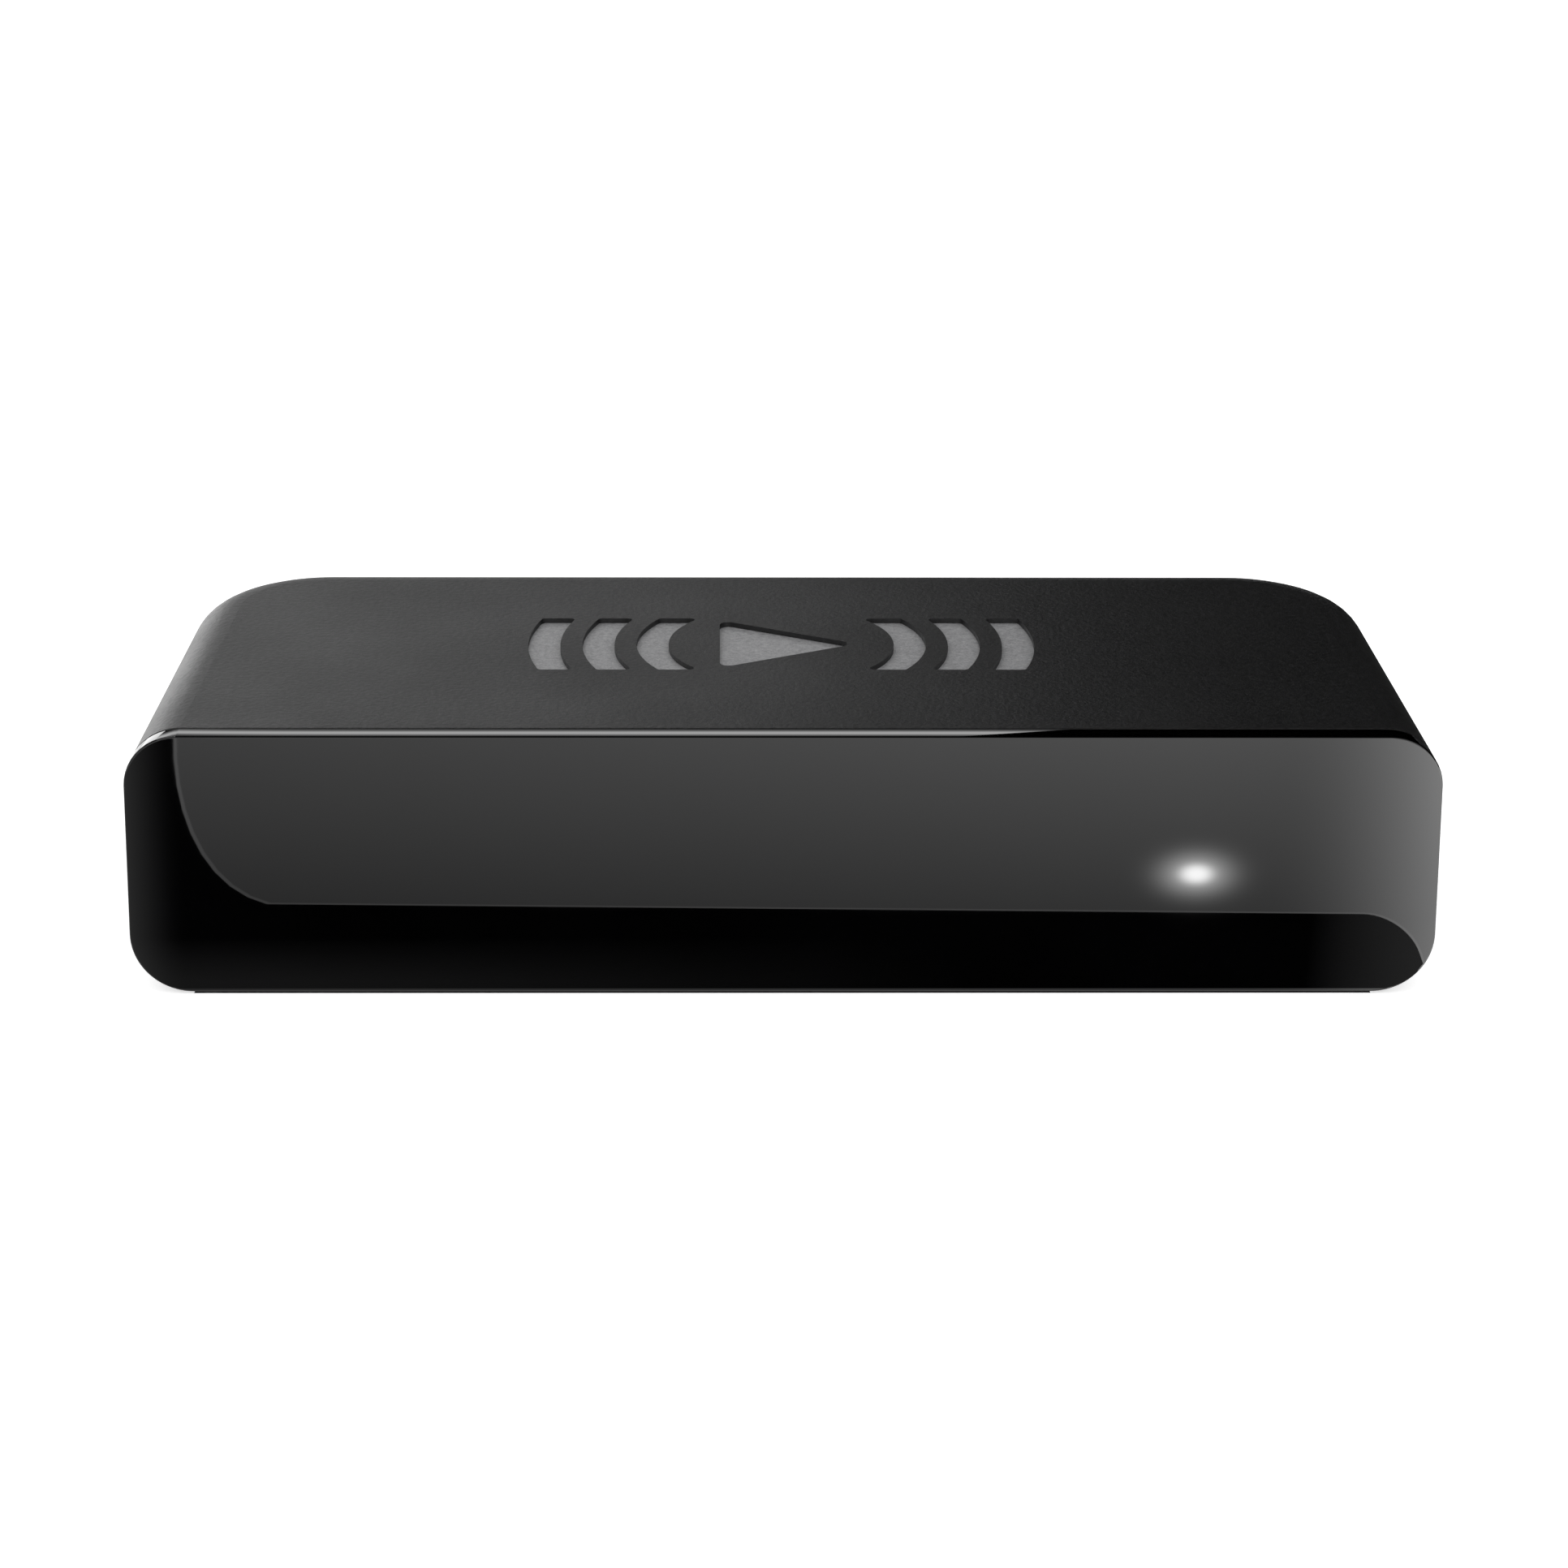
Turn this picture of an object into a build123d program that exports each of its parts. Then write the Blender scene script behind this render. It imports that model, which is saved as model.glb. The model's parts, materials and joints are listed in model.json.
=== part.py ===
from build123d import *
import os
from math import hypot

# Streaming media player: a low rounded box with a smoked front panel, a circuit board inside and
# its sockets in the rear. X runs to the right as seen from the front, the front faces -Y and Z is
# up. The origin is the middle of the base. All sizes are in millimetres.

# ---------------------------------------------------------------- outer form
WIDTH = 86.4                # across the front
DEPTH = 35.6
HEIGHT = 18.2
REAR_WIDTH = 80.8           # between the side planes, where they meet the rear plane
TOP_RADIUS = 3.5
BASE_RADIUS = 4.1
REAR_RADIUS = 9.5           # rear corners, seen from above
FOOT = 0.15                 # how far the base pad stands below the housing

# ---------------------------------------------------------------- housing and panel
WALL = 1.6
PARTING = 5.0               # height of the line between the two housings
SEAM = 0.1                  # gap at every visible seam
SLIP = 0.08                 # gap between a lip and the wall it stands in
PANEL = 1.5                 # thickness of the front panel
PANEL_EDGE = 0.12           # round edge of the front panel
SEAM_EDGE = 0.1             # round edges on both sides of the seam behind the panel
PANEL_LIP = 0.9             # thickness of the panel's locating lip
PANEL_LIP_DEPTH = 2.4
LIP = 0.85                  # thickness of the lower housing's inner lip
LIP_TOP = 6.2
TAB_HALF = 25.0             # rear tab of the lower housing, which holds the sockets
TAB_TOP = 13.2
FLANGE = 1.0                # thickness of the flange that backs the tab's seam
SNAP_LENGTH = 5.0
SNAP_DEPTH = 0.35

# ---------------------------------------------------------------- marks and base
EMBLEM_Y = 0.6
EMBLEM_RADII = (8.8, 12.5, 16.2)
EMBLEM_STROKE = 2.2
EMBLEM_CORNER = 0.3
EMBLEM_HALF = 5.3           # half the emblem's depth from front to rear
EMBLEM_RECESS = 0.5
EMBLEM_INLAY = 0.15
MARK_STROKE = 0.3
MARK_RECESS = 0.15
MARK_INK = 0.12
PAD_SIZE = (66.0, 24.0)
PAD_RADIUS = 5.0
PAD_RECESS = 0.5
PAD_GAP = 0.1
LABEL_SIZE = (50.0, 12.0)
LABEL_RADIUS = 1.5
LABEL_RECESS = 0.3
LABEL_GAP = 0.3
LABEL = 0.12

# ---------------------------------------------------------------- circuit board
BOARD_TOP = 6.4
BOARD = 1.2
BOARD_HALF = 37.0
BOARD_FRONT = -12.5
BOARD_REAR = 15.0
BOARD_CORNER = 7.0          # rear corners cut off to clear the housing's round corners
SCREW_SITES = ((-32.0, -8.5), (32.0, -8.5), (-27.5, 10.0), (27.5, 10.0))
SCREW_RADIUS = 1.0
BOSS_RADIUS = 2.6
CHIP_SITE = (2.0, -4.0)
CHIP_SIZE = 13.0
CHIP = 1.1
THERMAL_PAD = 0.8
SHEET = 0.2                 # thickness of stamped shields and antennas
MEMORY_SITE = (14.2, -4.0)
MEMORY_BODY = (7.2, 11.0, 1.0)
FLASH_SITE = (20.0, -3.0)   # on the board's underside
FLASH_BODY = (12.0, 16.4, 1.0)
WIRELESS_SITE = (-22.5, -2.5)
WIRELESS_SIZE = (12.0, 12.0)
SHIELD_HEIGHT = 1.8

# ---------------------------------------------------------------- rear sockets and button
SOCKET_MOUTH = 17.4         # the mouths stand just inside the rear face
VIDEO_X = -11.0
VIDEO_SIZE = (15.0, 5.55)
VIDEO_FRONT = 6.6
VIDEO_SHEET = 0.35
VIDEO_CORNER = (1.6, 1.3)   # its cut lower corners
VIDEO_TONGUE = 1.0
POWER_X = 17.5
POWER_SIZE = (7.5, 2.9)
POWER_FRONT = 12.0
POWER_SHEET = 0.25
POWER_CORNER = (1.0, 0.9)
POWER_TONGUE = 0.6
TONGUE_RISE = 0.35          # how far each tongue is above its socket's middle
BUTTON_X = 5.5
BUTTON_Z = 8.2
BUTTON_RADIUS = 1.75
BUTTON_GAP = 0.1            # running clearance round the button and the plunger
SWITCH_HALF = 3.0
SWITCH_FRONT = 10.6
SWITCH_REAR = 13.4
PLUNGER_RADIUS = 0.8
PLUNGER_END = 14.5
DOME_RADIUS = 1.3
DOME_RISE = 0.35
DOME_SEAT = 12.2

# ---------------------------------------------------------------- front light and receiver
LIGHT_X = 27.25
LIGHT_Z = 8.4
LIGHT_RADIUS = 1.15
RECEIVER_X = -26.0
RECEIVER_Y = -10.8
RECEIVER_SIZE = (5.0, 2.6, 6.0)
LEAD_PITCH = 1.5

# ---------------------------------------------------------------- worked out
FRONT = -DEPTH / 2
REAR = DEPTH / 2
TAPER = (WIDTH - REAR_WIDTH) / 2 / DEPTH
PANEL_BACK = FRONT + PANEL
SHELL_FRONT = PANEL_BACK + SEAM
REAR_WALL = REAR - WALL
FLOOR = FOOT + WALL
CEILING = HEIGHT - WALL
BOARD_BASE = BOARD_TOP - BOARD
CHIP_TOP = BOARD_TOP + CHIP
SPREADER_BASE = CHIP_TOP + THERMAL_PAD
SHIELD_TOP = BOARD_TOP + SHIELD_HEIGHT
RECEIVER_BASE = BOARD_TOP + 0.4
VIDEO_BASE = BOARD_TOP + 0.15
VIDEO_Z = VIDEO_BASE + VIDEO_SIZE[1] / 2
VIDEO_BACK = VIDEO_FRONT + 2.8
POWER_BASE = BOARD_TOP + 0.05
POWER_Z = POWER_BASE + POWER_SIZE[1] / 2
POWER_BACK = POWER_FRONT + 1.2
SWITCH_TOP = BUTTON_Z + 1.7


# ---------------------------------------------------------------- helpers
def slab(x, y, z):
    """A block between the low and high value given for each direction."""
    size = [high - low for low, high in (x, y, z)]
    middle = [(low + high) / 2 for low, high in (x, y, z)]
    return Pos(*middle) * Box(*size)


def block(centre, size, base):
    """A block that stands on the height base, with its middle over centre."""
    return Pos(*centre, base + size[2] / 2) * Box(*size)


def along_y(outline, low, high):
    """An outline drawn in X and Z, extruded from low to high along Y."""
    return extrude(Plane.XZ.offset(-high) * outline, high - low)


def along_z(outline, low, high):
    """An outline drawn in X and Y, extruded from low to high along Z."""
    return extrude(Pos(0, 0, low) * outline, high - low)


def rod_y(x, z, radius, low, high):
    """A round rod along Y."""
    return along_y(Pos(x, z) * Circle(radius), low, high)


def rod_z(x, y, radius, low, high):
    """A round rod along Z."""
    return along_z(Pos(x, y) * Circle(radius), low, high)


def group(solids):
    """Separate solids kept together as one sub-part."""
    return Compound(children=[piece for solid in solids for piece in solid.solids()])


def half_width(y, inset=0.0):
    """Half the body's width at y, with the side drawn in by inset."""
    return WIDTH / 2 - (y - FRONT) * TAPER - inset * hypot(1, TAPER)


def body_form(inset, front):
    """The body's form drawn in by inset all round, and cut square at y = front."""
    rear = REAR - inset
    corners = [
        (-half_width(front, inset), front),
        (half_width(front, inset), front),
        (half_width(rear, inset), rear),
        (-half_width(rear, inset), rear),
    ]
    plan = make_face(Polyline(*corners, close=True))
    plan = fillet(plan.vertices().group_by(Axis.Y)[-1], REAR_RADIUS - inset)
    form = along_z(plan, FOOT + inset, HEIGHT - inset)
    for which, radius in ((-1, TOP_RADIUS), (0, BASE_RADIUS)):
        rim = form.faces().sort_by(Axis.Z)[which].edges()
        rim = rim.filter_by(lambda edge: edge.center().Y > front + 1)
        form = fillet(rim, radius - inset)
    return form


def body_ring(outer, inner, front, rear):
    """The band between two insets, from y = front to y = rear."""
    band = body_form(outer, front) - body_form(inner, front - 1)
    return band & slab((-WIDTH, WIDTH), (front, rear), (0, HEIGHT))


def tab_outline(gap=0.0):
    """The rear tab's outline in X and Z, grown by gap and run down past the parting line."""
    height = TAB_TOP + gap
    return Pos(0, height / 2) * RectangleRounded(2 * (TAB_HALF + gap), height, 1.2 + gap)


def side_snaps(depth, grow):
    """Snap ramps on the side lips and the rear lip, or the larger pockets that they click into."""
    length = SNAP_LENGTH / 2 + grow
    low, high = PARTING + 0.35 - grow, PARTING + 0.85 + grow
    outer = body_form(WALL - depth, SHELL_FRONT)
    ring = outer - body_form(WALL + LIP / 2, SHELL_FRONT - 1)
    sites = [((-WIDTH, WIDTH), (y - length, y + length)) for y in (-6.0, 4.0)]
    sites += [((x - length, x + length), (0, REAR)) for x in (-29.0, 29.0)]
    return [ring & slab(x, y, (low, high)) for x, y in sites]


def panel_snaps(depth, grow):
    """Barbs above and below the panel's lip, or the larger pockets that they click into."""
    front, rear = PANEL_BACK + 1.1 - grow, PANEL_BACK + 2.1 + grow
    length = SNAP_LENGTH / 2 + grow
    ring = body_form(WALL - depth, front) - body_form(WALL + PANEL_LIP / 2, front - 1)
    return [
        ring & slab((x - length, x + length), (front, rear), z)
        for x in (-24.0, 0.0, 24.0)
        for z in ((0, FLOOR + 1), (CEILING - 1, HEIGHT))
    ]


# ---------------------------------------------------------------- marks
def emblem_outline():
    """A play triangle between three bows on each side, like a transmitter's waves."""
    point, back, half, corner = 5.2, -4.2, 4.9, 0.6
    triangle = make_face(Polyline((back, -half), (point, 0), (back, half), close=True))
    shapes = [fillet(triangle.vertices(), corner)]
    for radius in EMBLEM_RADII:
        ring = Circle(radius + EMBLEM_STROKE / 2) - Circle(radius - EMBLEM_STROKE / 2)
        for side in (-1, 1):
            bow = ring & (Pos(side * radius, 0) * Rectangle(radius, 2 * EMBLEM_HALF))
            shapes.append(fillet(bow.face().vertices(), EMBLEM_CORNER))
    return [Pos(0, EMBLEM_Y) * shape for shape in shapes]


def port_mark_outlines():
    """Small marks beside the sockets: a screen, a turning arrow and a lightning bolt."""
    width, height = 3.0, 2.0
    glass = Rectangle(width - 2 * MARK_STROKE, height - 2 * MARK_STROKE)
    screen = RectangleRounded(width, height, MARK_STROKE) - glass
    stand = Pos(0, -1.5) * Rectangle(1.6, MARK_STROKE)
    turn = SlotArc(CenterArc((0, 0), 0.8, -30, 270), MARK_STROKE)
    tip = make_face(Polyline((0.45, -0.55), (1.05, -1.0), (1.1, -0.2), close=True))
    bolt_points = ((0.3, 1.2), (-0.7, -0.1), (-0.1, -0.1), (-0.3, -1.2), (0.7, 0.15), (0.1, 0.15))
    bolt = make_face(Polyline(*bolt_points, close=True))
    mark_z = BUTTON_Z + 3.1
    screen_place = Pos(VIDEO_X - VIDEO_SIZE[0] / 2 - 3.4, VIDEO_Z + 0.2)
    return [
        screen_place * screen,
        screen_place * stand,
        Pos(BUTTON_X, mark_z) * (turn + tip),
        Pos(POWER_X, mark_z) * bolt,
    ]


def top_emblem():
    top = HEIGHT - EMBLEM_RECESS + EMBLEM_INLAY
    return group(along_z(shape, top - EMBLEM_INLAY, top) for shape in emblem_outline())


def port_marks():
    low = REAR - MARK_RECESS
    return group(along_y(mark, low, low + MARK_INK) for mark in port_mark_outlines())


# ---------------------------------------------------------------- housing
def housing_form():
    """Both housings' outer form, with a small round at the seam behind the panel."""
    form = body_form(0, SHELL_FRONT)
    return fillet(form.faces().sort_by(Axis.Y)[0].edges(), SEAM_EDGE)


def upper_housing():
    rib, rib_drop, rib_half = 1.0, 1.6, 30.0
    shell = housing_form() - body_form(WALL, SHELL_FRONT - 1)
    shell &= slab((-WIDTH, WIDTH), (-DEPTH, DEPTH), (PARTING + SEAM, HEIGHT))
    shell -= along_y(tab_outline(SEAM), REAR_WALL - 1, REAR + 1)
    for y in (-9.0, 8.0):
        shell += slab((-rib_half, rib_half), (y - rib / 2, y + rib / 2), (CEILING - rib_drop, CEILING))
    for snap in side_snaps(SNAP_DEPTH + SLIP, 0.2) + panel_snaps(SNAP_DEPTH + SLIP, 0.2):
        shell -= snap
    for shape in emblem_outline():
        shell -= along_z(shape, HEIGHT - EMBLEM_RECESS, HEIGHT + 1)
    return shell


def socket_openings():
    """The holes in the rear tab, each flared at the outside."""
    flare, gap, corner = 0.5, 0.2, 0.6
    openings = []
    for x, z, size in ((VIDEO_X, VIDEO_Z, VIDEO_SIZE), (POWER_X, POWER_Z, POWER_SIZE)):
        width, height = size[0] + 2 * gap, size[1] + 2 * gap
        hole = Pos(x, z) * RectangleRounded(width, height, corner)
        mouth = Pos(x, z) * RectangleRounded(width + 2 * flare, height + 2 * flare, corner + flare)
        openings.append(along_y(hole, 0, REAR + 1))
        steps = (Plane.XZ.offset(flare - REAR) * hole, Plane.XZ.offset(-REAR) * mouth)
        openings.append(loft([step.face() for step in steps]))
    hole = BUTTON_RADIUS + BUTTON_GAP
    openings.append(rod_y(BUTTON_X, BUTTON_Z, hole, PLUNGER_END, REAR + 1))
    return openings


def rear_tab():
    """The part of the rear wall that stands up from the lower housing, with its inner flange."""
    overlap, rim = 1.2, 1.5
    tab = along_y(tab_outline(), REAR_WALL, REAR)
    half, top = TAB_HALF + overlap, TAB_TOP + overlap
    flange = slab((-half, half), (REAR_WALL - FLANGE, REAR_WALL - SLIP), (PARTING, top))
    flange -= slab((-TAB_HALF + rim, TAB_HALF - rim), (0, REAR), (0, TAB_TOP - rim + 0.8))
    web = slab((-TAB_HALF, TAB_HALF), (REAR_WALL - FLANGE, REAR_WALL), (TAB_TOP - 0.7, TAB_TOP - 0.1))
    return (tab + flange + web) & slab((-half, half), (0, REAR), (PARTING - 1, top))


def lower_housing():
    lip_front = PANEL_BACK + PANEL_LIP_DEPTH + 0.4
    lip_root = PARTING - 1.5
    everywhere = (-DEPTH, DEPTH)
    across = (-WIDTH, WIDTH)
    shell = housing_form() & slab(across, everywhere, (0, PARTING))
    lip = body_form(WALL + SLIP, lip_front)
    shell += lip & slab(across, (lip_front, DEPTH), (PARTING - 0.5, LIP_TOP))
    hollow = body_form(WALL, SHELL_FRONT - 1)
    shell -= hollow & slab(across, everywhere, (0, lip_root))
    shell -= hollow & slab(across, (-DEPTH, lip_front), (lip_root, HEIGHT))
    shell -= body_form(WALL + LIP, lip_front - 1) & slab(across, everywhere, (lip_root, HEIGHT))
    for snap in side_snaps(SNAP_DEPTH - SLIP, 0):
        shell += snap
    shell += rear_tab()
    for x, y in SCREW_SITES:
        shell += rod_z(x, y, BOSS_RADIUS, FLOOR - 0.5, BOARD_BASE)
    rib, rib_rise, rib_half = 1.0, 0.8, 24.0
    for y in (-5.5, 5.5):
        shell += slab((-rib_half, rib_half), (y - rib / 2, y + rib / 2), (FLOOR - 0.5, FLOOR + rib_rise))
    for x, y in SCREW_SITES:
        shell -= rod_z(x, y, SCREW_RADIUS + 0.05, FLOOR, BOARD_BASE + 1)
    for opening in socket_openings():
        shell -= opening
    for snap in panel_snaps(SNAP_DEPTH + SLIP, 0.2):
        shell -= snap
    for mark in port_mark_outlines():
        shell -= along_y(mark, REAR - MARK_RECESS, REAR + 1)
    width, depth = (size + 2 * PAD_GAP for size in PAD_SIZE)
    pad = RectangleRounded(width, depth, PAD_RADIUS + PAD_GAP)
    return shell - along_z(pad, 0, FOOT + PAD_RECESS)


def base_pad():
    pad = along_z(RectangleRounded(*PAD_SIZE, PAD_RADIUS), 0, FOOT + PAD_RECESS)
    under = pad.faces().sort_by(Axis.Z)[0].edges()
    pad = chamfer(under, 0.15)
    return pad - along_z(RectangleRounded(*LABEL_SIZE, LABEL_RADIUS), 0, LABEL_RECESS)


def rating_label():
    width, depth = (size - 2 * LABEL_GAP for size in LABEL_SIZE)
    outline = RectangleRounded(width, depth, LABEL_RADIUS - LABEL_GAP)
    return along_z(outline, LABEL_RECESS - LABEL, LABEL_RECESS)


def front_panel():
    plate = body_form(0, FRONT) & slab((-WIDTH, WIDTH), (FRONT, PANEL_BACK), (0, HEIGHT))
    plate = fillet(plate.faces().sort_by(Axis.Y)[0].edges(), PANEL_EDGE)
    plate = fillet(plate.faces().sort_by(Axis.Y)[-1].edges(), SEAM_EDGE)
    outer = WALL + SLIP
    plate += body_ring(outer, outer + PANEL_LIP, PANEL_BACK - 0.2, PANEL_BACK + PANEL_LIP_DEPTH)
    for snap in panel_snaps(SNAP_DEPTH - SLIP, 0):
        plate += snap
    return plate - rod_y(LIGHT_X, LIGHT_Z, LIGHT_RADIUS, PANEL_BACK - 0.9, PANEL_BACK + 1)


# ---------------------------------------------------------------- board
def board_slots():
    """Places where a socket's leg, an antenna's foot or a lead passes through the board."""
    slots = [(VIDEO_X + side * (VIDEO_SIZE[0] / 2 - 0.2), y) for side in (-1, 1) for y in (8.0, 13.0)]
    slots += [(POWER_X + side * (POWER_SIZE[0] / 2 - 0.15), 13.6) for side in (-1, 1)]
    slots += [(RECEIVER_X + step * LEAD_PITCH, RECEIVER_Y - 0.2) for step in (-1, 0, 1)]
    return slots


def main_board():
    corner = BOARD_CORNER
    outline = make_face(
        Polyline(
            (-BOARD_HALF, BOARD_FRONT),
            (BOARD_HALF, BOARD_FRONT),
            (BOARD_HALF, BOARD_REAR - corner),
            (BOARD_HALF - corner, BOARD_REAR),
            (-BOARD_HALF + corner, BOARD_REAR),
            (-BOARD_HALF, BOARD_REAR - corner),
            close=True,
        )
    )
    outline = fillet(outline.vertices(), 0.8)
    for site in SCREW_SITES:
        outline -= Pos(*site) * Circle(SCREW_RADIUS + 0.2)
    for site in board_slots():
        outline -= Pos(*site) * Rectangle(0.9, 1.5)
    return along_z(outline, BOARD_BASE, BOARD_TOP)


def board_screws():
    head_radius, head, head_round = 1.9, 1.3, 0.6
    shank, point = 4.3, 0.4
    slot_length, slot_width, slot_depth = 2.0, 0.5, 0.7
    screws = []
    for x, y in SCREW_SITES:
        top = BOARD_TOP + head
        pan = rod_z(x, y, head_radius, BOARD_TOP, top)
        pan = fillet(pan.faces().sort_by(Axis.Z)[-1].edges(), head_round)
        screw = pan + rod_z(x, y, SCREW_RADIUS, BOARD_TOP - shank, BOARD_TOP + 0.1)
        tip = screw.faces().sort_by(Axis.Z)[0].edges()
        screw = chamfer(tip, point)
        for size in ((slot_length, slot_width, 2), (slot_width, slot_length, 2)):
            screw -= block((x, y), size, top - slot_depth)
        screws.append(screw)
    return group(screws)


def system_chip():
    carrier_thickness, mould_size = 0.4, CHIP_SIZE - 0.6
    carrier = block(CHIP_SITE, (CHIP_SIZE, CHIP_SIZE, carrier_thickness), BOARD_TOP)
    mould = block(
        CHIP_SITE, (mould_size, mould_size, CHIP - carrier_thickness), BOARD_TOP + carrier_thickness
    )
    mould = chamfer(mould.edges().filter_by(Axis.Z), 0.4)
    return carrier + mould


def thermal_pad():
    return block(CHIP_SITE, (CHIP_SIZE - 1, CHIP_SIZE - 1, THERMAL_PAD), CHIP_TOP)


def heat_spreader():
    """A folded plate over the main chip, with two upright walls and four feet on the board."""
    x, y = (-14.0, 20.0), (-11.5, 4.5)
    thick, wall_top, bend = 1.0, 13.0, 1.4
    profile = Polyline(
        (y[0], wall_top), (y[0], SPREADER_BASE), (y[1], SPREADER_BASE), (y[1], wall_top)
    )
    outside = make_face(profile.edges() + [Line((y[1], wall_top), (y[0], wall_top))])
    outside = fillet(outside.vertices().group_by(Axis.Y)[0], bend)
    height = wall_top - SPREADER_BASE - thick
    inside = Pos((y[0] + y[1]) / 2, SPREADER_BASE + thick + height / 2 + 0.5) * Rectangle(
        y[1] - y[0] - 2 * thick, height + 1
    )
    inside = fillet(inside.vertices().group_by(Axis.Y)[0], bend - thick)
    trough = extrude(Plane.YZ.offset(x[0]) * (outside - inside), x[1] - x[0])
    for foot_x in (x[0] + 1, x[1] - 1):
        for foot_y in (y[0] + 3, y[1] - 3):
            trough += block((foot_x, foot_y), (1.6, 2.4, SPREADER_BASE - BOARD_TOP + 0.2), BOARD_TOP)
    return trough


def memory_chip():
    return block(MEMORY_SITE, MEMORY_BODY, BOARD_TOP)


def flash_chip():
    return block(FLASH_SITE, FLASH_BODY, BOARD_BASE - FLASH_BODY[2] - 0.1)


def flash_leads():
    count, pitch, width = 24, 0.45, 0.22
    leads = []
    for side in (-1, 1):
        edge = FLASH_SITE[1] + side * FLASH_BODY[1] / 2
        for index in range(count):
            x = FLASH_SITE[0] + (index - (count - 1) / 2) * pitch
            leads.append(block((x, edge + side * 0.35), (width, 0.7, 0.6), BOARD_BASE - 0.6))
    return group(leads)


def wireless_chip():
    return block(WIRELESS_SITE, (7.0, 7.0, 0.9), BOARD_TOP)


def wireless_shield_frame():
    width, depth = WIRELESS_SIZE
    high = SHIELD_TOP - SHEET - BOARD_TOP - 0.05
    fence = block(WIRELESS_SITE, (width, depth, high), BOARD_TOP)
    fence -= block(WIRELESS_SITE, (width - 2 * SHEET, depth - 2 * SHEET, high - SHEET), BOARD_TOP)
    window = block(WIRELESS_SITE, (width - 2, depth - 2, 5), BOARD_TOP)
    bar = block(WIRELESS_SITE, (1.6, depth - 1, SHEET), BOARD_TOP + high - SHEET)
    return fence - window + bar


def wireless_shield_lid():
    skirt, count, pitch, vent = 1.2, 4, 2.4, 0.5
    width, depth = (size + 2 * SHEET + 0.1 for size in WIRELESS_SIZE)
    lid = block(WIRELESS_SITE, (width, depth, skirt), SHIELD_TOP - skirt)
    inside = (width - 2 * SHEET, depth - 2 * SHEET, skirt)
    lid -= block(WIRELESS_SITE, inside, SHIELD_TOP - skirt - SHEET)
    offsets = [(index - (count - 1) / 2) * pitch for index in range(count)]
    for x in offsets:
        for y in offsets:
            site = (WIRELESS_SITE[0] + x, WIRELESS_SITE[1] + y)
            lid -= rod_z(*site, vent, SHIELD_TOP - 1, SHIELD_TOP + 1)
    return lid


def power_regulators():
    return group(block((25.5, y), (3.0, 3.0, 0.9), BOARD_TOP) for y in (-7.5, -2.5, 2.5))


def power_inductors():
    coils = []
    for y in (-4.0, 0.8, 5.6):
        coil = block((30.0, y), (4.0, 4.0, 2.0), BOARD_TOP)
        coils.append(chamfer(coil.edges().filter_by(Axis.Z), 0.6))
    return group(coils)


def bulk_capacitors():
    """Two upright round capacitors, each on its square seat."""
    can_radius, can_top, seat = 2.5, 5.4, 0.8
    cans = []
    for x, y in ((10.5, 8.5), (22.8, 7.6)):
        can = rod_z(x, y, can_radius, BOARD_TOP + seat / 2, BOARD_TOP + can_top)
        can = fillet(can.faces().sort_by(Axis.Z)[-1].edges(), 0.3)
        groove = rod_z(x, y, can_radius + 1, BOARD_TOP + 1.5, BOARD_TOP + 1.9)
        groove -= rod_z(x, y, can_radius - 0.25, BOARD_TOP + 1, BOARD_TOP + 2.5)
        square = block((x, y), (5.3, 5.3, seat), BOARD_TOP)
        square = chamfer(square.edges().filter_by(Axis.Z).group_by(Axis.X)[0], 1.2)
        cans.append(can - groove + square)
    return group(cans)


def ceramic_capacitors():
    """Rows of small capacitors: two beside the main chip and one beside the regulators."""
    sites = [(x, CHIP_SITE[1] + (row - 3.5) * 1.6) for x in (-6.2, 10.0) for row in range(8)]
    sites += [(x, -10.8) for x in (21.2, 22.8, 24.4)]
    sites += [(x, 7.0) for x in (-24.0, -21.5, 16.4, 18.6)]
    return group(block(site, (1.0, 0.5, 0.55), BOARD_TOP) for site in sites)


def chip_resistors():
    """Rows of small resistors: behind the spreader, by the receiver and near the left antenna."""
    sites = [(-3.5 + column * 1.5, 5.6) for column in range(8)]
    sites += [(-21.0 + column * 1.5, -10.8) for column in range(4)]
    sites += [(-33.0 + column * 1.5, -0.5) for column in range(2)]
    return group(block(site, (0.5, 1.0, 0.35), BOARD_TOP) for site in sites)


def crystals():
    return group(block(site, (2.5, 3.2, 0.7), BOARD_TOP) for site in ((-10.0, -6.0), (-22.5, 10.5)))


def line_filters():
    """Four small chokes in the picture lines, ahead of their socket."""
    sites = [(VIDEO_X + 1.2 + step * 1.5, 3.6) for step in (-1.5, -0.5, 0.5, 1.5)]
    return group(block(site, (1.2, 1.6, 0.8), BOARD_TOP) for site in sites)


def antenna(side):
    """A folded strip on edge near the board's end, slotted from above and below by turns."""
    x = side * (BOARD_HALF - 1.4)
    front, rear, low, high = -5.0, 7.0, BOARD_TOP + 0.8, BOARD_TOP + 6.0
    slot = 0.8
    strip = slab((x - SHEET / 2, x + SHEET / 2), (front, rear), (low, high))
    for index in range(4):
        y = front + 2.4 * (index + 1)
        bottom = low - 1 if index % 2 else low + 1.2
        strip -= slab((x - 1, x + 1), (y - slot / 2, y + slot / 2), (bottom, bottom + high - low - 0.2))
    for y in (front + 0.6, front + 4.2):
        strip += slab((x - SHEET / 2, x + SHEET / 2), (y - 0.6, y + 0.6), (BOARD_TOP, low + 0.1))
    return strip


# ---------------------------------------------------------------- front light
def status_led():
    package = block((LIGHT_X, -10.4), (1.6, 0.8, 0.3), BOARD_TOP)
    return package + block((LIGHT_X, -10.4), (1.0, 0.8, 0.55), BOARD_TOP)


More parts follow.
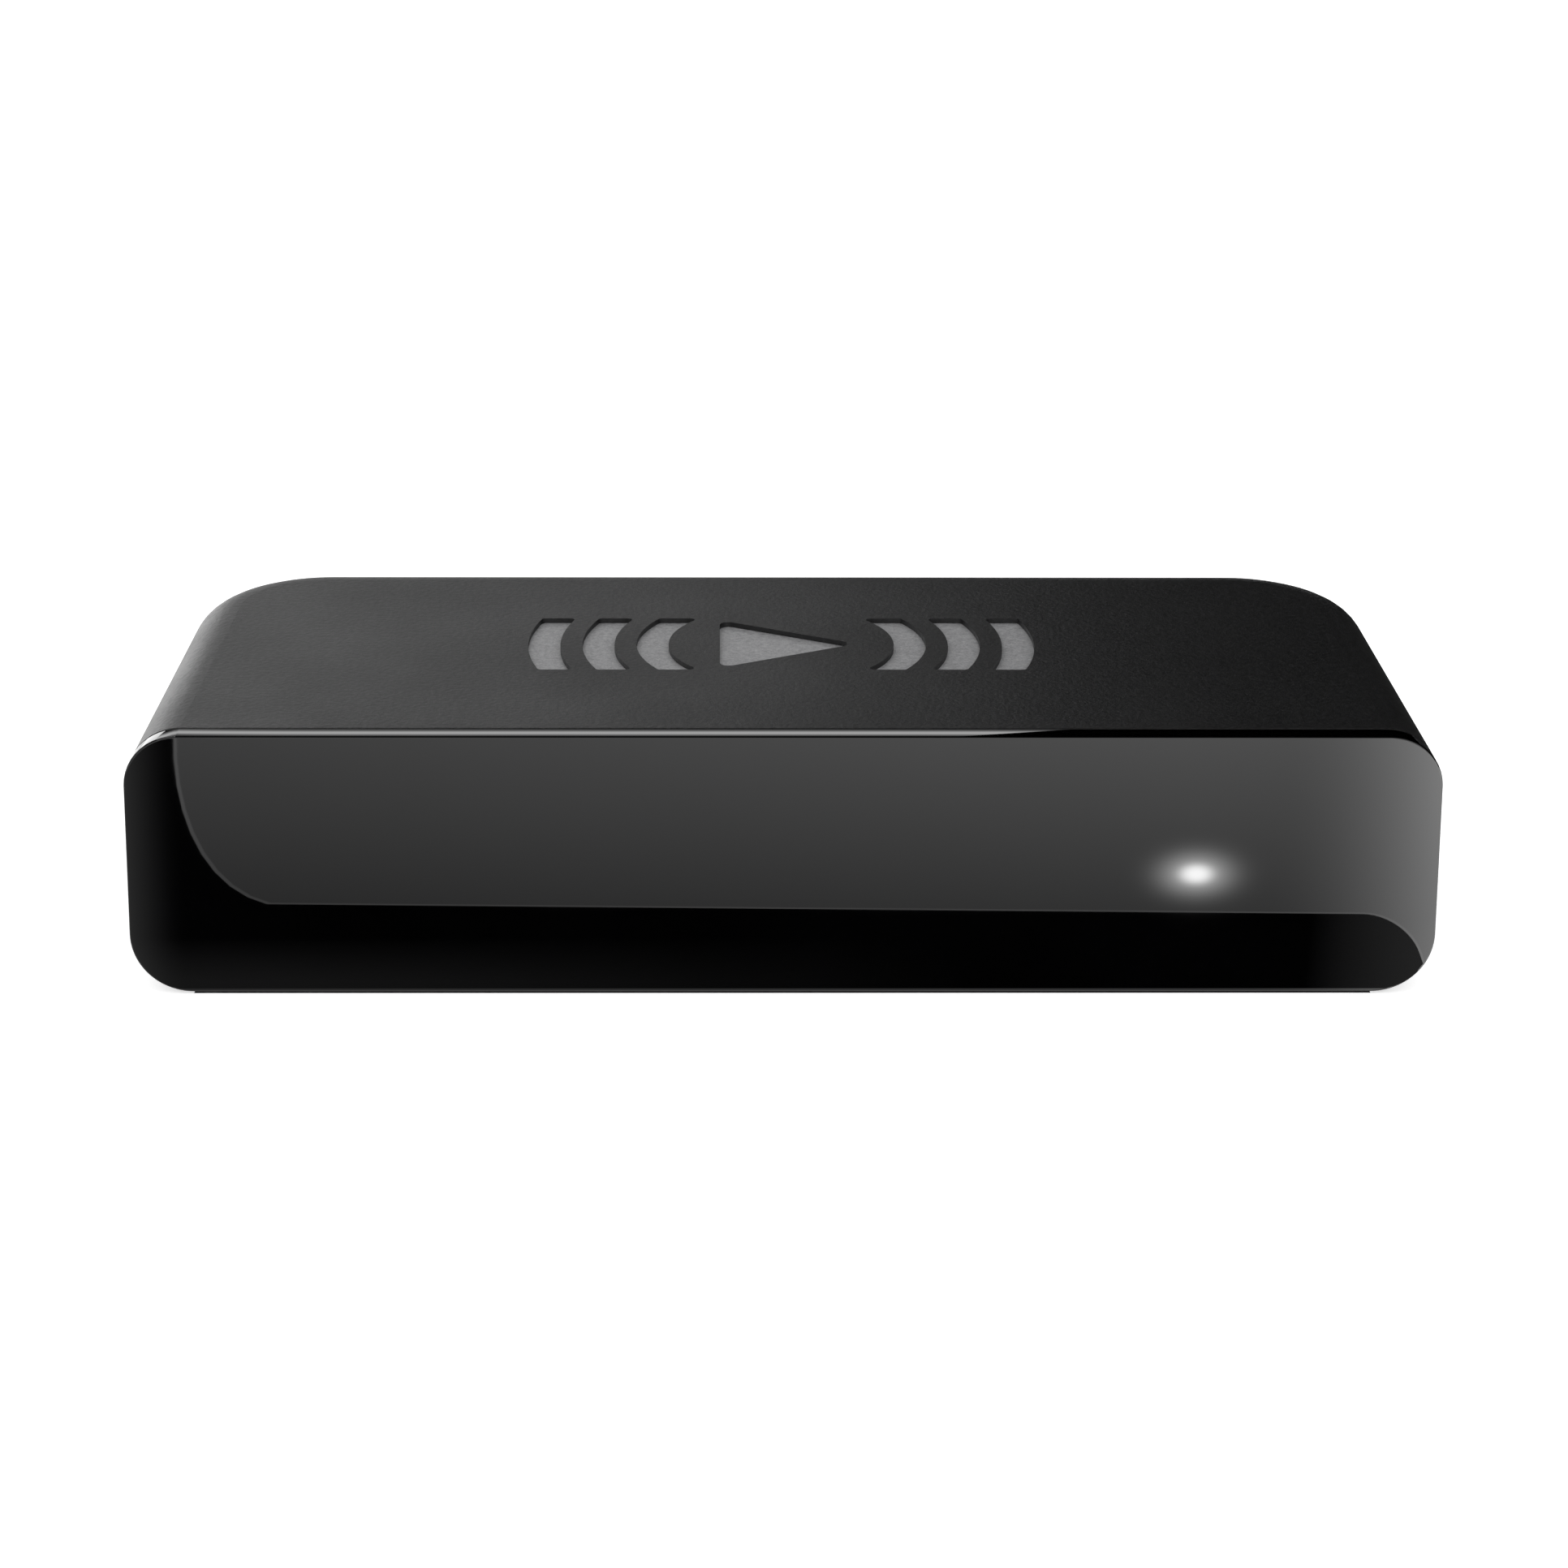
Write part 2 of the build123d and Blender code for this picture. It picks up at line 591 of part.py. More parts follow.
def light_pipe():
    """A clear elbow that carries the LED's light forward into the panel's blind hole."""
    radius = LIGHT_RADIUS - BUTTON_GAP
    foot = slab(
        (LIGHT_X - radius, LIGHT_X + radius), (-11.6, -9.4), (BOARD_TOP + 0.65, LIGHT_Z + radius)
    )
    slope = foot.edges().filter_by(Axis.X).group_by(Axis.Z)[-1].sort_by(Axis.Y)[-1]
    foot = chamfer(slope, 1.6)
    return foot + rod_y(LIGHT_X, LIGHT_Z, radius, PANEL_BACK - 0.85, -11.5)


def light_shroud():
    """A soft sleeve round the light pipe that keeps its light off the rest of the panel."""
    front, rear = PANEL_BACK + 0.02, -12.6
    sleeve = rod_y(LIGHT_X, LIGHT_Z, 1.9, front, rear)
    return sleeve - rod_y(LIGHT_X, LIGHT_Z, LIGHT_RADIUS, front - 1, rear + 1)


# ---------------------------------------------------------------- remote receiver
def receiver_body():
    """The dark block of the infra-red receiver with its round lens towards the front."""
    body = block((RECEIVER_X, RECEIVER_Y), RECEIVER_SIZE, RECEIVER_BASE)
    lens_y, lens_z, lens_radius = RECEIVER_Y - 0.8, RECEIVER_BASE + RECEIVER_SIZE[2] - 2.6, 2.0
    bulge = Pos(RECEIVER_X, lens_y, lens_z) * Sphere(lens_radius)
    return body + (bulge & slab((-WIDTH, 0), (lens_y - lens_radius, lens_y + 0.6), (0, HEIGHT)))


def receiver_shield():
    """A folded can round the receiver, open at the front where the lens looks out."""
    gap = 0.06
    low = RECEIVER_BASE + 0.6
    width, depth, height = RECEIVER_SIZE
    outer_width, outer_depth = width + 2 * (gap + SHEET), depth + gap + SHEET
    outer_top = RECEIVER_BASE + height + gap + SHEET
    middle = (RECEIVER_X, RECEIVER_Y + (gap + SHEET) / 2)
    can = block(middle, (outer_width, outer_depth, outer_top - low), low)
    inner = (width + 2 * gap, depth + 2 * gap, height + gap)
    return can - block((RECEIVER_X, RECEIVER_Y), inner, RECEIVER_BASE)


def receiver_leads():
    thick, low = 0.5, BOARD_BASE - 1.2
    return group(
        block((RECEIVER_X + step * LEAD_PITCH, RECEIVER_Y - 0.2), (thick, thick, RECEIVER_BASE - low), low)
        for step in (-1, 0, 1)
    )


# ---------------------------------------------------------------- picture socket
def d_outline(size, corner, inset=0.0):
    """A socket's outline: round upper corners and cut lower corners."""
    half, height = size[0] / 2 - inset, size[1] / 2 - inset
    cut_x, cut_z = corner
    points = (
        (-half, height),
        (half, height),
        (half, -height + cut_z),
        (half - cut_x, -height),
        (-half + cut_x, -height),
        (-half, -height + cut_z),
    )
    face = make_face(Polyline(*points, close=True))
    return fillet(face.vertices(), 0.5)


def video_socket_shell():
    outline = Pos(VIDEO_X, VIDEO_Z) * d_outline(VIDEO_SIZE, VIDEO_CORNER)
    inner = Pos(VIDEO_X, VIDEO_Z) * d_outline(VIDEO_SIZE, VIDEO_CORNER, VIDEO_SHEET)
    shell = along_y(outline, VIDEO_FRONT, SOCKET_MOUTH)
    shell -= along_y(inner, VIDEO_FRONT - 1, SOCKET_MOUTH + 1)
    for x, y in board_slots()[:4]:
        shell += block((x, y), (VIDEO_SHEET, 1.1, BOARD + 4.2), BOARD_BASE - 0.6)
    return shell


def video_socket_insulator():
    tongue_half = 5.8
    inner = Pos(VIDEO_X, VIDEO_Z) * d_outline(VIDEO_SIZE, VIDEO_CORNER, VIDEO_SHEET + SLIP)
    back = along_y(inner, VIDEO_FRONT + 0.1, VIDEO_BACK)
    middle = VIDEO_Z + TONGUE_RISE
    tongue = slab(
        (VIDEO_X - tongue_half, VIDEO_X + tongue_half),
        (VIDEO_BACK - 0.5, SOCKET_MOUTH - 0.8),
        (middle - VIDEO_TONGUE / 2, middle + VIDEO_TONGUE / 2),
    )
    nose = tongue.faces().sort_by(Axis.Y)[-1].edges().filter_by(Axis.X)
    return back + chamfer(nose, 0.3)


def video_socket_contacts():
    """Ten strips on the tongue and nine under it, with their feet behind the socket."""
    width, thick = 0.45, 0.1
    strips = []
    for count, face in ((10, 1), (9, -1)):
        for index in range(count):
            x = VIDEO_X + (index - (count - 1) / 2)
            near = VIDEO_Z + TONGUE_RISE + face * VIDEO_TONGUE / 2
            z = sorted((near, near + face * thick))
            strips.append(slab((x - width / 2, x + width / 2), (VIDEO_BACK, SOCKET_MOUTH - 1.4), z))
    for index in range(19):
        x = VIDEO_X + (index - 9) * 0.5
        strips.append(block((x, VIDEO_FRONT - 0.7), (0.22, 1.3, 0.12), BOARD_TOP))
    return group(strips)


# ---------------------------------------------------------------- power socket
def power_socket_shell():
    outline = Pos(POWER_X, POWER_Z) * d_outline(POWER_SIZE, POWER_CORNER)
    inner = Pos(POWER_X, POWER_Z) * d_outline(POWER_SIZE, POWER_CORNER, POWER_SHEET)
    shell = along_y(outline, POWER_FRONT, SOCKET_MOUTH)
    shell -= along_y(inner, POWER_FRONT - 1, SOCKET_MOUTH + 1)
    for x, y in board_slots()[4:6]:
        shell += block((x, y), (POWER_SHEET, 1.1, BOARD + 2.0), BOARD_BASE - 0.5)
    return shell


def power_socket_insulator():
    tongue_half = 1.9
    inner = Pos(POWER_X, POWER_Z) * d_outline(POWER_SIZE, POWER_CORNER, POWER_SHEET + SLIP)
    back = along_y(inner, POWER_FRONT + 0.1, POWER_BACK)
    middle = POWER_Z + TONGUE_RISE
    return back + slab(
        (POWER_X - tongue_half, POWER_X + tongue_half),
        (POWER_BACK - 0.3, SOCKET_MOUTH - 0.6),
        (middle - POWER_TONGUE / 2, middle + POWER_TONGUE / 2),
    )


def power_socket_contacts():
    width, thick, pitch = 0.35, 0.08, 0.65
    low = POWER_Z + TONGUE_RISE - POWER_TONGUE / 2
    strips = []
    for index in range(5):
        x = POWER_X + (index - 2) * pitch
        side = (x - width / 2, x + width / 2)
        strips.append(slab(side, (POWER_BACK, SOCKET_MOUTH - 1.0), (low - thick, low)))
        strips.append(block((x, POWER_FRONT - 0.5), (0.3, 0.9, 0.1), BOARD_TOP))
    return group(strips)


# ---------------------------------------------------------------- reset button and its switch
def reset_button():
    """The cap in the rear tab, with the collar that keeps it from falling out."""
    face = REAR - 0.2
    cap = rod_y(BUTTON_X, BUTTON_Z, BUTTON_RADIUS, REAR_WALL - 1.2, face)
    cap = fillet(cap.faces().sort_by(Axis.Y)[-1].edges(), 0.25)
    collar = rod_y(BUTTON_X, BUTTON_Z, BUTTON_RADIUS + 0.8, REAR_WALL - 0.9, REAR_WALL - 0.06)
    collar &= slab((0, WIDTH), (0, DEPTH), (LIP_TOP + 0.2, HEIGHT))
    stem = rod_y(BUTTON_X, BUTTON_Z, 1.0, PLUNGER_END + 0.02, REAR_WALL - 1.0)
    return cap + collar + stem


def reset_switch_base():
    base = slab(
        (BUTTON_X - SWITCH_HALF, BUTTON_X + SWITCH_HALF),
        (SWITCH_FRONT, SWITCH_REAR),
        (BOARD_TOP, SWITCH_TOP),
    )
    return base - rod_y(BUTTON_X, BUTTON_Z, DOME_RADIUS + 0.2, DOME_SEAT, SWITCH_REAR + 1)


def reset_switch_dome():
    """The sprung metal dish under the plunger."""
    thick = 0.08
    sphere = (DOME_RADIUS**2 + DOME_RISE**2) / (2 * DOME_RISE)
    centre = Pos(BUTTON_X, DOME_SEAT + DOME_RISE - sphere, BUTTON_Z)
    dish = centre * (Sphere(sphere) - Sphere(sphere - thick))
    return dish & slab((0, WIDTH), (DOME_SEAT + 0.01, DEPTH), (0, HEIGHT))


def reset_switch_plunger():
    flange = rod_y(BUTTON_X, BUTTON_Z, 1.2, SWITCH_REAR - 0.45, SWITCH_REAR - 0.1)
    return flange + rod_y(BUTTON_X, BUTTON_Z, PLUNGER_RADIUS, SWITCH_REAR - 0.2, PLUNGER_END)


def reset_switch_cover():
    """The plate over the switch, with a wing down each side of it."""
    low, high = BOARD_TOP + 0.02, SWITCH_TOP
    left, right = BUTTON_X - SWITCH_HALF, BUTTON_X + SWITCH_HALF
    plate = slab((left - SHEET, right + SHEET), (SWITCH_REAR, SWITCH_REAR + SHEET), (low, high))
    for x in ((left - SHEET, left), (right, right + SHEET)):
        plate += slab(x, (SWITCH_FRONT + 0.4, SWITCH_REAR + 0.1), (low, high))
    hole = PLUNGER_RADIUS + BUTTON_GAP
    return plate - rod_y(BUTTON_X, BUTTON_Z, hole, SWITCH_REAR - 1, SWITCH_REAR + 1)


NODES = {
    "upper_housing": upper_housing,
    "lower_housing": lower_housing,
    "front_panel": front_panel,
    "top_emblem": top_emblem,
    "port_marks": port_marks,
    "base_pad": base_pad,
    "rating_label": rating_label,
    "main_board": main_board,
    "board_screws": board_screws,
    "system_chip": system_chip,
    "thermal_pad": thermal_pad,
    "heat_spreader": heat_spreader,
    "memory_chip": memory_chip,
    "flash_chip": flash_chip,
    "flash_leads": flash_leads,
    "wireless_chip": wireless_chip,
    "wireless_shield_frame": wireless_shield_frame,
    "wireless_shield_lid": wireless_shield_lid,
    "power_regulators": power_regulators,
    "power_inductors": power_inductors,
    "bulk_capacitors": bulk_capacitors,
    "ceramic_capacitors": ceramic_capacitors,
    "chip_resistors": chip_resistors,
    "crystals": crystals,
    "line_filters": line_filters,
    "antenna_left": lambda: antenna(-1),
    "antenna_right": lambda: antenna(1),
    "status_led": status_led,
    "light_pipe": light_pipe,
    "light_shroud": light_shroud,
    "receiver_body": receiver_body,
    "receiver_shield": receiver_shield,
    "receiver_leads": receiver_leads,
    "video_socket_shell": video_socket_shell,
    "video_socket_insulator": video_socket_insulator,
    "video_socket_contacts": video_socket_contacts,
    "power_socket_shell": power_socket_shell,
    "power_socket_insulator": power_socket_insulator,
    "power_socket_contacts": power_socket_contacts,
    "reset_button": reset_button,
    "reset_switch_base": reset_switch_base,
    "reset_switch_dome": reset_switch_dome,
    "reset_switch_plunger": reset_switch_plunger,
    "reset_switch_cover": reset_switch_cover,
}

os.makedirs("parts", exist_ok=True)
for node, make in NODES.items():
    export_step(make(), f"parts/{node}.step")
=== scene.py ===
import json
import math

import bmesh
import bpy
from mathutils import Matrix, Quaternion, Vector


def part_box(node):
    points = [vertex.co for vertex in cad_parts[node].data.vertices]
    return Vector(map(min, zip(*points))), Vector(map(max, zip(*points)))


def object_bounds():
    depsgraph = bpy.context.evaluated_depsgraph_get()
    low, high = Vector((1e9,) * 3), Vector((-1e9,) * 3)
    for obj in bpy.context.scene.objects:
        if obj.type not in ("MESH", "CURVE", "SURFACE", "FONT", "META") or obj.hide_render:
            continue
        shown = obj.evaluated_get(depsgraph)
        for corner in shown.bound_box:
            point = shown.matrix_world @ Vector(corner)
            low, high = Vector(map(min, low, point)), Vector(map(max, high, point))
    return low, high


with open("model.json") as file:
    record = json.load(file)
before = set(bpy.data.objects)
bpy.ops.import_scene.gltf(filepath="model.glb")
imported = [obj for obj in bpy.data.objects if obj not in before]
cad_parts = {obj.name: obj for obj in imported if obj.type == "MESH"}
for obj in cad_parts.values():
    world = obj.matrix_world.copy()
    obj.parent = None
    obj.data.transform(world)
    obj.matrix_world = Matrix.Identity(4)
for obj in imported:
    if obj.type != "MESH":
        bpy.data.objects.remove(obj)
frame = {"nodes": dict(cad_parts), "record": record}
cad_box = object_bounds()

MM = 0.001
UM = 0.000001

# ---------------------------------------------------------------- places read from the frame
FACE_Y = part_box("front_panel")[0].y
LIGHT_CENTRE = sum(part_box("light_shroud"), Vector()) / 2
OBJECT_CENTRE = sum(cad_box, Vector()) / 2

# ---------------------------------------------------------------- driving sizes
WHITE = (1.0, 1.0, 1.0, 1.0)
BLACK = (0.0115, 0.0115, 0.012)
RIM_DEPTH, RIM_CROWN = 1.5 * MM, 10 * UM        # the panel's rim, which is slightly crowned
REAR_WALL_Y = 150 * MM
BAR_BEND = (-43 * MM, 18 * MM)                  # X and Z that the bar of light bends round
BAR_RADIUS, BAR_SPREAD = 62 * MM, 5.5 * MM      # its bend's radius, and how wide its soft edge is
LEAN_LEFT, LEAN_RIGHT = -0.115, 0.147           # how far the floor's bands lean in X, for each Y


# ---------------------------------------------------------------- material building
class Finish:
    """A material under construction: one shader and the graph that feeds it."""

    def __init__(self, name, colour, roughness, metallic=0.0, **sockets):
        self.material = bpy.data.materials.new(name)
        self.material.use_nodes = True
        self.nodes = self.material.node_tree.nodes
        self.links = self.material.node_tree.links
        self.shader = self.nodes["Principled BSDF"]
        self.colour = colour
        self.roughness = roughness
        self.set("Base Color", (*colour, 1.0))
        self.set("Roughness", roughness)
        self.set("Metallic", metallic)
        for socket, value in sockets.items():
            self.set(socket.replace("_", " "), value)
        self.place = self.nodes.new("ShaderNodeTexCoord").outputs["Object"]
        self.normal = None

    def set(self, socket, value):
        self.shader.inputs[socket].default_value = value

    def feed(self, socket, value):
        self.links.new(value, self.shader.inputs[socket])

    def node(self, kind, inputs=(), **settings):
        """Adds a node, sets its options and feeds its sockets with values or other outputs."""
        made = self.nodes.new("ShaderNode" + kind)
        for key, value in settings.items():
            setattr(made, key, value)
        for key, value in dict(inputs).items():
            if isinstance(value, bpy.types.NodeSocket):
                self.links.new(value, made.inputs[key])
            else:
                made.inputs[key].default_value = value
        return made

    # -- arithmetic
    def math(self, operation, first, second=0.0):
        return self.node("Math", {0: first, 1: second}, operation=operation).outputs[0]

    def plus(self, first, second):
        return self.math("ADD", first, second)

    def minus(self, first, second):
        return self.math("SUBTRACT", first, second)

    def times(self, first, second):
        return self.math("MULTIPLY", first, second)

    def mean(self, first, second):
        return self.times(self.plus(first, second), 0.5)

    def falling(self, value):
        """Falls from 1 towards 0 as value rises from 0: e to the power of minus value."""
        return self.math("EXPONENT", self.times(value, -1.0))

    def vector(self, operation, first, second=(0.0, 0.0, 0.0), output=0):
        return self.node("VectorMath", {0: first, 1: second}, operation=operation).outputs[output]

    def remap(self, value, low, high, start=0.3, end=0.7):
        """Runs from low to high while value runs from start to end."""
        inputs = {"Value": value, "From Min": start, "From Max": end, "To Min": low, "To Max": high}
        return self.node("MapRange", inputs).outputs[0]

    def blend(self, share, first, second):
        """A colour between first and second by share."""
        return self.node("Mix", {0: share, 6: first, 7: second}, data_type="RGBA").outputs[2]

    # -- patterns over the object
    def along(self, axis):
        return self.node("SeparateXYZ", {0: self.place}).outputs[axis]

    def scaled(self, size, stretch=(1, 1, 1)):
        """The place in units of size, drawn out along each axis by stretch."""
        scale = [1 / (size * along) for along in stretch]
        return self.node("Mapping", {"Vector": self.place, "Scale": scale}).outputs[0]

    def noise(self, size, detail=2.0, stretch=(1, 1, 1)):
        """Noise whose spots are about size across."""
        inputs = {"Vector": self.scaled(size, stretch), "Scale": 1.0, "Detail": detail}
        return self.node("TexNoise", inputs).outputs[0]

    def cells(self, size, feature="F1"):
        """Distance within cells about size across: to their middle, or to their edge."""
        inputs = {"Vector": self.scaled(size), "Scale": 1.0}
        return self.node("TexVoronoi", inputs, feature=feature).outputs["Distance"]

    # -- what a pattern does to the surface
    def vary_colour(self, pattern, spread):
        """Base colour a little darker and lighter than the plain colour, by the pattern."""
        dark = (*[max(0.0, part * (1 - spread)) for part in self.colour], 1.0)
        light = (*[min(1.0, part * (1 + spread)) for part in self.colour], 1.0)
        self.feed("Base Color", self.blend(self.remap(pattern, 0, 1), dark, light))

    def vary_roughness(self, pattern, spread):
        low, high = max(0.0, self.roughness - spread), min(1.0, self.roughness + spread)
        self.feed("Roughness", self.remap(pattern, low, high))

    def relief(self, pattern, depth, strength=1.0):
        """Adds bump of that depth on top of any bump already there."""
        inputs = {"Height": pattern, "Distance": depth, "Strength": strength}
        if self.normal is not None:
            inputs["Normal"] = self.normal
        self.normal = self.node("Bump", inputs).outputs[0]
        self.feed("Normal", self.normal)


# ---------------------------------------------------------------- finishes
def grained_plastic(name, colour, roughness, grain, depth):
    """Moulded plastic with a fine eroded grain and faint flow clouds."""
    finish = Finish(name, colour, roughness)
    fine = finish.noise(grain, detail=3.0)
    coarse = finish.noise(grain * 2.6, detail=2.0)
    cloud = finish.noise(14 * MM, detail=2.0)
    finish.vary_colour(finish.mean(fine, coarse), 0.4)
    finish.vary_roughness(finish.mean(cloud, coarse), 0.07)
    finish.relief(coarse, depth * 2.5)
    finish.relief(fine, depth)
    return finish


def soft_rubber(name, colour, roughness=0.8):
    """Rubber with a dull dusty skin and small dimples."""
    finish = Finish(name, colour, roughness)
    dust = finish.noise(3.5 * MM, detail=5.0)
    finish.vary_colour(dust, 0.25)
    finish.vary_roughness(dust, 0.08)
    finish.relief(finish.cells(0.32 * MM), 4 * UM, 0.5)
    return finish


def brushed_metal(name, colour, roughness, along):
    """Rolled or plated sheet metal with fine lines along one axis and dull patches."""
    finish = Finish(name, colour, roughness, metallic=1.0)
    stretch = [14.0 if axis == along else 1.0 for axis in "xyz"]
    lines = finish.noise(0.09 * MM, detail=3.0, stretch=stretch)
    patches = finish.noise(1.6 * MM, detail=4.0)
    finish.vary_colour(patches, 0.08)
    finish.vary_roughness(finish.mean(lines, patches), 0.06)
    finish.relief(lines, 1.2 * UM, 0.6)
    return finish


def fired_ceramic(name, colour):
    """Ceramic body of a small part, with fine specks and soft mottles."""
    finish = Finish(name, colour, 0.42)
    specks = finish.noise(0.05 * MM, detail=2.0)
    finish.vary_colour(specks, 0.3)
    finish.vary_roughness(finish.noise(0.5 * MM), 0.1)
    finish.relief(specks, 1.5 * UM, 0.6)
    return finish


def moulded_epoxy(name, colour):
    """Chip package: matte black epoxy with glass filler specks and faint sanding."""
    finish = Finish(name, colour, 0.55)
    filler = finish.noise(0.06 * MM, detail=3.0)
    finish.vary_colour(filler, 0.35)
    finish.vary_roughness(finish.noise(1.2 * MM, detail=3.0), 0.08)
    finish.relief(filler, 2.5 * UM, 0.7)
    return finish


def circuit_board(name, colour):
    """Solder mask over copper: broad areas and narrow tracks just show as lighter green."""
    finish = Finish(name, colour, 0.28, Coat_Weight=0.35, Coat_Roughness=0.12)
    grid = {
        "Vector": finish.scaled(2.4 * MM),
        "Scale": 1.0,
        "Mortar Size": 0.06,
        "Brick Width": 1.7,
        "Row Height": 0.31,
    }
    tracks = finish.node("TexBrick", grid, offset=0.37, squash=1.6, squash_frequency=3).outputs["Fac"]
    areas = finish.cells(6.5 * MM, feature="DISTANCE_TO_EDGE")
    copper = finish.math("MAXIMUM", tracks, finish.remap(areas, 1.0, 0.0, 0.04, 0.06))
    lighter = (colour[0] * 1.8 + 0.01, colour[1] * 1.9, colour[2] * 1.7, 1.0)
    finish.feed("Base Color", finish.blend(copper, (*colour, 1.0), lighter))
    finish.vary_roughness(finish.noise(2.0 * MM, detail=3.0), 0.06)
    finish.relief(copper, 18 * UM, 0.5)
    return finish


def painted_light_glow(finish):
    """Painted glow of the status light seen through the panel, as emission on the panel's surface: a
    bright core in a wide oval halo.
    """
    width, height = 1.46 * MM, 0.92 * MM
    halo_light, halo_reach = 0.39, 1.88
    core_light, core_reach, core_edge = 0.5, 0.52, 1.5
    middle = LIGHT_CENTRE + Vector((-0.05 * MM, 0.0, 0.16 * MM))
    shift = finish.vector("SUBTRACT", finish.place, tuple(middle))
    spread = finish.vector("MULTIPLY", shift, (1 / width, 0.0, 1 / height))
    square = finish.vector("DOT_PRODUCT", spread, spread, "Value")
    halo = finish.falling(finish.times(square, 1 / halo_reach))
    steep = finish.math("POWER", finish.times(square, 1 / core_reach), core_edge)
    return finish.plus(finish.times(halo, halo_light), finish.times(finish.falling(steep), core_light))


def smoked_panel(name, colour):
    """Polished smoked plastic, with the status light's glow painted on as emission, spreading as if
    inside it.
    """
    finish = Finish(name, colour, 0.02, IOR=1.5)
    haze = finish.noise(9 * MM, detail=3.0)
    finish.vary_colour(haze, 0.3)
    finish.feed("Roughness", finish.remap(haze, 0.012, 0.03))
    finish.relief(finish.noise(26 * MM, detail=0.0), 6 * UM, 0.35)
    across_rim = finish.remap(finish.along("Y"), -1.0, 1.0, FACE_Y, FACE_Y + RIM_DEPTH)
    finish.relief(finish.minus(1.0, finish.times(across_rim, across_rim)), RIM_CROWN)
    # painted glow: the status light's glow is emission painted on the panel's surface, not light from a
    # lamp
    finish.set("Emission Color", WHITE)
    finish.feed("Emission Strength", painted_light_glow(finish))
    return finish


def clear_resin(name, colour, transmission):
    """Clear or milky resin with faint haze and moulding waves."""
    finish = Finish(name, colour, 0.12, Transmission_Weight=transmission, IOR=1.49)
    haze = finish.noise(1.1 * MM, detail=3.0)
    finish.vary_colour(haze, 0.05)
    finish.vary_roughness(haze, 0.05)
    finish.relief(finish.noise(2.2 * MM), 3 * UM, 0.5)
    return finish


def dark_resin(name, colour):
    """Infra-red clear resin, near black, with a faint swirl."""
    finish = Finish(name, colour, 0.14)
    swirl = finish.noise(0.9 * MM, detail=4.0)
    finish.vary_colour(swirl, 0.3)
    finish.vary_roughness(swirl, 0.05)
    finish.relief(finish.noise(1.8 * MM), 4 * UM, 0.4)
    return finish


def label_film(name, colour):
    """Plain film label with a faint fibre and soft scuffs."""
    finish = Finish(name, colour, 0.5)
    fibre = finish.noise(0.14 * MM, detail=3.0, stretch=(4, 1, 1))
    scuff = finish.noise(5 * MM, detail=5.0)
    finish.vary_colour(finish.mean(fibre, scuff), 0.12)
    finish.vary_roughness(scuff, 0.1)
    finish.relief(fibre, 1.5 * UM, 0.6)
    return finish


# One finish for each material slot of the record.
FINISHES = {
    "matte_housing": grained_plastic("housing_matte", BLACK, 0.44, 0.13 * MM, 11 * UM),
    "gloss_panel": smoked_panel("panel_smoked", (0.0005, 0.0005, 0.0006)),
    "mark_grey": grained_plastic("mark_satin_grey", (0.24, 0.24, 0.245), 0.42, 0.12 * MM, 3.0 * UM),
    "mark_white": grained_plastic("mark_ink", (0.42, 0.42, 0.43), 0.5, 0.08 * MM, 1.0 * UM),
    "rubber_black": soft_rubber("pad_rubber", (0.016, 0.016, 0.017)),
    "label_film": label_film("label_film", (0.2, 0.2, 0.205)),
    "board_green": circuit_board("board_mask", (0.006, 0.06, 0.022)),
    "screw_steel": brushed_metal("screw_zinc", (0.56, 0.55, 0.53), 0.32, "z"),
    "chip_black": moulded_epoxy("chip_epoxy", (0.017, 0.017, 0.019)),
    "pad_grey": soft_rubber("thermal_silicone", (0.3, 0.33, 0.38), 0.7),
    "spreader_aluminium": brushed_metal("spreader_aluminium", (0.83, 0.83, 0.84), 0.34, "x"),
    "tinned_steel": brushed_metal("tinned_steel", (0.66, 0.65, 0.62), 0.24, "y"),
    "inductor_grey": fired_ceramic("inductor_ferrite", (0.07, 0.07, 0.074)),
    "can_aluminium": brushed_metal("can_aluminium", (0.86, 0.86, 0.87), 0.22, "z"),
    "capacitor_tan": fired_ceramic("capacitor_ceramic", (0.34, 0.22, 0.12)),
    "resistor_black": fired_ceramic("resistor_ceramic", (0.018, 0.018, 0.02)),
    "led_body": clear_resin("led_resin", (0.86, 0.87, 0.84), 0.2),
    "light_pipe_clear": clear_resin("pipe_acrylic", (0.93, 0.95, 0.96), 0.95),
    "shroud_rubber": soft_rubber("shroud_rubber", (0.013, 0.013, 0.013), 0.85),
    "receiver_resin": dark_resin("receiver_resin", (0.012, 0.009, 0.013)),
    "insulator_black": grained_plastic("insulator_nylon", (0.02, 0.02, 0.02), 0.5, 0.05 * MM, 1.5 * UM),
    "contact_gold": brushed_metal("contact_gold", (0.95, 0.68, 0.26), 0.2, "y"),
    "dome_steel": brushed_metal("dome_spring_steel", (0.6, 0.6, 0.6), 0.2, "x"),
    "button_black": grained_plastic("button_satin", (0.022, 0.022, 0.023), 0.38, 0.09 * MM, 1.4 * UM),
}


def paint_nodes():
    """Gives each CAD node the finish of its slot in the record."""
    for row in frame["record"]["subparts"]:
        mesh = frame["nodes"][row["node"]].data
        mesh.materials.clear()
        mesh.materials.append(FINISHES[row["material_slot"]].material)


# ---------------------------------------------------------------- outlines and sheets
def arc(centre, radius, start, end, steps=12):
    """Points on an ellipse's arc, between two angles in degrees."""
    points = []
    for step in range(steps + 1):
        angle = math.radians(start + (end - start) * step / steps)
        points.append((centre[0] + radius[0] * math.cos(angle), centre[1] + radius[1] * math.sin(angle)))
    return points


def box_outline(low_x, high_x, low, high):
    return [(low_x, low), (high_x, low), (high_x, high), (low_x, high)]


def link(thing):
    bpy.context.scene.collection.objects.link(thing)
    return thing


